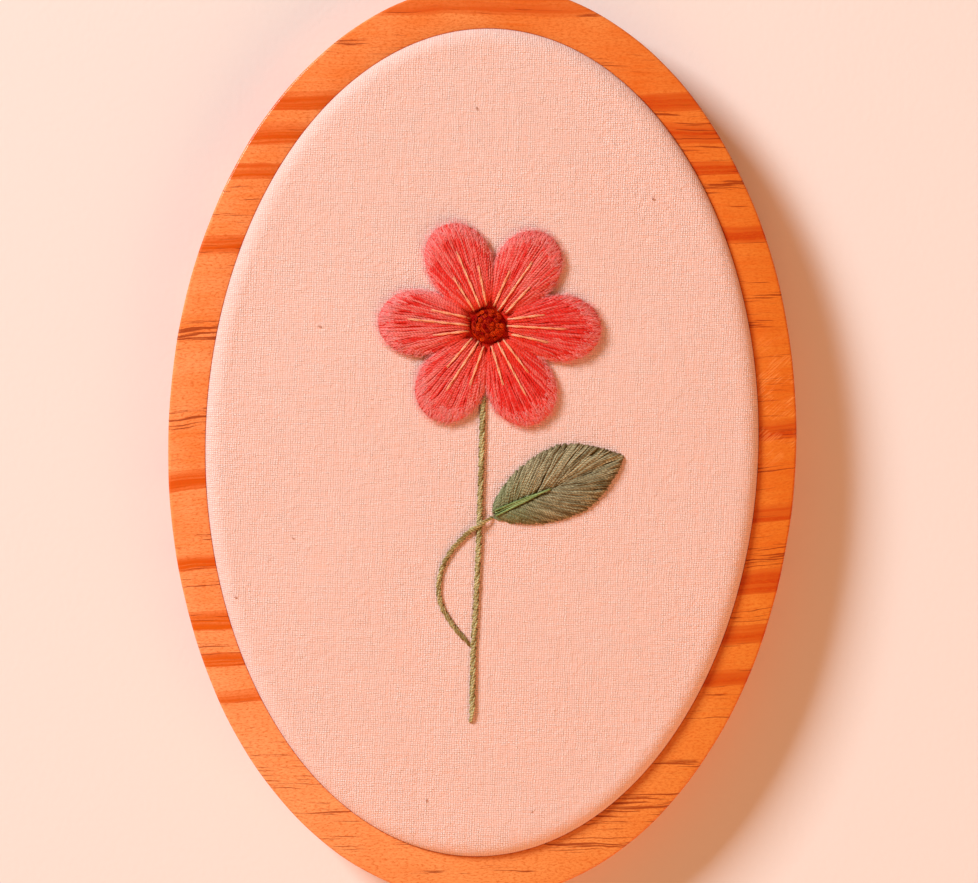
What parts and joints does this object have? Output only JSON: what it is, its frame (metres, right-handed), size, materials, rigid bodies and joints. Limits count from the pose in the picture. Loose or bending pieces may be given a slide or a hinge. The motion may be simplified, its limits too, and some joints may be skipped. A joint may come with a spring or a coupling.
{
  "type": "embroidered cloth panel in an oval wood hoop frame",
  "caption": "Oval wood hoop frame holding a padded, cloth-covered panel with a raised hand-embroidered flower, stem and leaf.",
  "frame": {"origin": "centre of the back, on the plane that the wood ring's flat back lies on", "axes": "+X to the right as the piece is seen, +Y up the oval towards the flower, +Z out of the cloth"},
  "size_m": [0.12, 0.175, 0.0179],
  "materials": {
    "oiled_pine": "sawn, sanded and oiled pine with darker growth bands",
    "cotton_cloth": "matt plain weave",
    "coral_thread": "stranded cotton with a soft sheen",
    "dark_red_thread": "knotted stranded cotton",
    "olive_thread": "twisted stranded cotton",
    "grey_green_thread": "stranded cotton with a soft sheen",
    "bright_green_thread": "stranded cotton with a soft sheen"
  },
  "bodies": {
    "root": {"wood_frame": "oiled_pine", "cloth_panel": "cotton_cloth", "petal_right": "coral_thread", "petal_upper_right": "coral_thread", "petal_upper_left": "coral_thread", "petal_left": "coral_thread", "petal_lower_left": "coral_thread", "petal_lower_right": "coral_thread", "flower_centre": "dark_red_thread", "stem": "olive_thread", "leaf_stalk": "olive_thread", "leaf": "grey_green_thread", "leaf_midrib": "bright_green_thread"}
  },
  "joints": []
}
